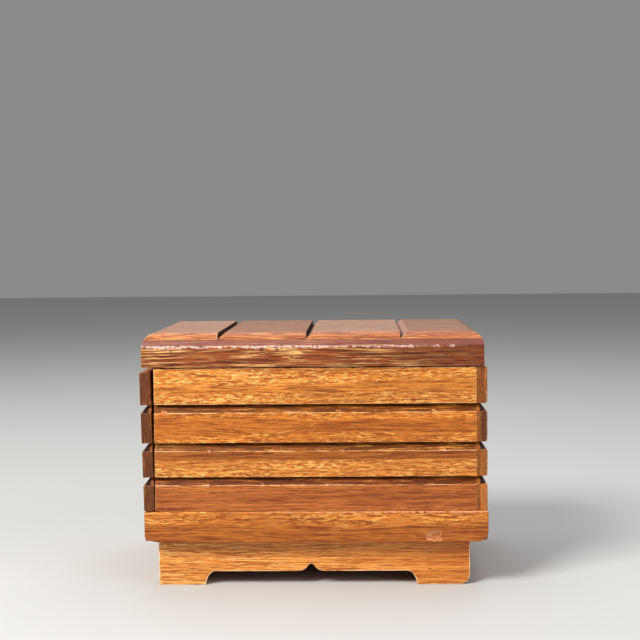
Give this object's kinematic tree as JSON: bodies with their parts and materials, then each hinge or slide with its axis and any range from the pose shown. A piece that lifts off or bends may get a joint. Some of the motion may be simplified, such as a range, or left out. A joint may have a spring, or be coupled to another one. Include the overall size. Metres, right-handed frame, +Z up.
{
  "type": "wooden puzzle box",
  "caption": "Strip-clad wooden puzzle box on a bracket plinth, with a hinged lid, a sliding side panel and a hidden bolt.",
  "frame": {"origin": "on the ground under the middle of the base board", "axes": "+X to the right along the front, +Y from the front to the hinged back, +Z up"},
  "size_m": [0.1312, 0.09, 0.0971],
  "materials": {
    "honey_wood": "satin varnish",
    "dark_wood": "satin varnish",
    "inner_wood": "bare",
    "hinge_brass": "dulled"
  },
  "bodies": {
    "box": {"back_strip_1": "honey_wood", "back_strip_2": "honey_wood", "back_strip_3": "honey_wood", "back_strip_4": "honey_wood", "back_wall": "inner_wood", "base_board": "honey_wood", "bolt_guide_back": "inner_wood", "bolt_guide_front": "inner_wood", "front_strip_1": "honey_wood", "front_strip_2": "honey_wood", "front_strip_3": "honey_wood", "front_strip_4": "honey_wood", "front_wall": "inner_wood", "hinge_screws_back": "hinge_brass", "left_hinge_back_leaf": "hinge_brass", "left_hinge_pin": "hinge_brass", "left_wall": "inner_wood", "plinth_back": "honey_wood", "plinth_corner_blocks": "inner_wood", "plinth_front": "honey_wood", "plinth_left": "honey_wood", "plinth_right": "honey_wood", "right_hinge_back_leaf": "hinge_brass", "right_hinge_pin": "hinge_brass", "right_panel_back": "inner_wood", "right_strip_1": "honey_wood", "right_strip_2": "honey_wood", "right_strip_3": "honey_wood", "right_strip_4": "honey_wood", "right_wall": "inner_wood"},
    "lid": {"lid_board": "dark_wood", "lid_strip_1": "honey_wood", "lid_strip_2": "honey_wood", "lid_strip_3": "honey_wood", "lid_strip_4": "honey_wood", "bolt_keeper": "inner_wood", "left_hinge_lid_leaf": "hinge_brass", "right_hinge_lid_leaf": "hinge_brass", "hinge_screws_lid": "hinge_brass"},
    "side_panel": {"left_panel_back": "inner_wood", "left_strip_1": "honey_wood", "left_strip_2": "honey_wood", "left_strip_3": "honey_wood", "left_strip_4": "honey_wood", "panel_runner": "inner_wood"},
    "bolt": {"lock_bolt": "inner_wood", "bolt_peg": "inner_wood"}
  },
  "joints": [
    {"name": "lid_hinge", "type": "hinge", "parent": "box", "child": "lid", "pos_m": [0, 0.043, 0.08395], "axis": [-1, 0, 0], "range_deg": [0, 105]},
    {"name": "side_panel_slide", "type": "slide", "parent": "box", "child": "side_panel", "axis": [0, -1, 0], "range_m": [0, 0.026]},
    {"name": "bolt_slide", "type": "slide", "parent": "box", "child": "bolt", "axis": [0, -1, 0], "range_m": [0, 0.006]}
  ]
}
